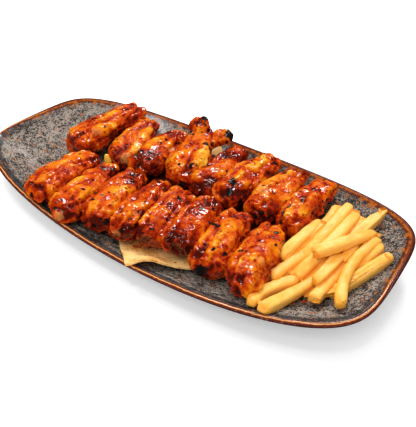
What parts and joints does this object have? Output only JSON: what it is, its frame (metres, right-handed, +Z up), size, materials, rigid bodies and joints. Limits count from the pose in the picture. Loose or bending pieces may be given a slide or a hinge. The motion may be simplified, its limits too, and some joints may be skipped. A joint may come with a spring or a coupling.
{
  "type": "chicken wings serving",
  "caption": "Oblong stoneware plate with two rows of grilled, glazed chicken wings over flatbread and a heap of fries.",
  "frame": {"origin": "centre of the footprint, on the surface the plate stands on", "axes": "+X along the plate's long side towards the fries, +Y towards the back row of wings, +Z up"},
  "size_m": [0.3719, 0.1861, 0.0489],
  "materials": {
    "stoneware": "speckled grey glaze, satin, with a glossy brown rim",
    "flatbread": "matt",
    "glazed_wing": "glossy sauce over roasted skin",
    "fried_potato": "satin"
  },
  "bodies": {
    "root": {"plate": "stoneware", "flatbread": "flatbread", "wing_back_1": "glazed_wing", "wing_back_2": "glazed_wing", "wing_back_3": "glazed_wing", "wing_back_4": "glazed_wing", "wing_back_5": "glazed_wing", "wing_back_6": "glazed_wing", "wing_back_7": "glazed_wing", "wing_back_8": "glazed_wing", "wing_front_1": "glazed_wing", "wing_front_2": "glazed_wing", "wing_front_3": "glazed_wing", "wing_front_4": "glazed_wing", "wing_front_5": "glazed_wing", "wing_front_6": "glazed_wing", "wing_front_7": "glazed_wing", "wing_front_8": "glazed_wing", "fries": "fried_potato"}
  },
  "joints": []
}
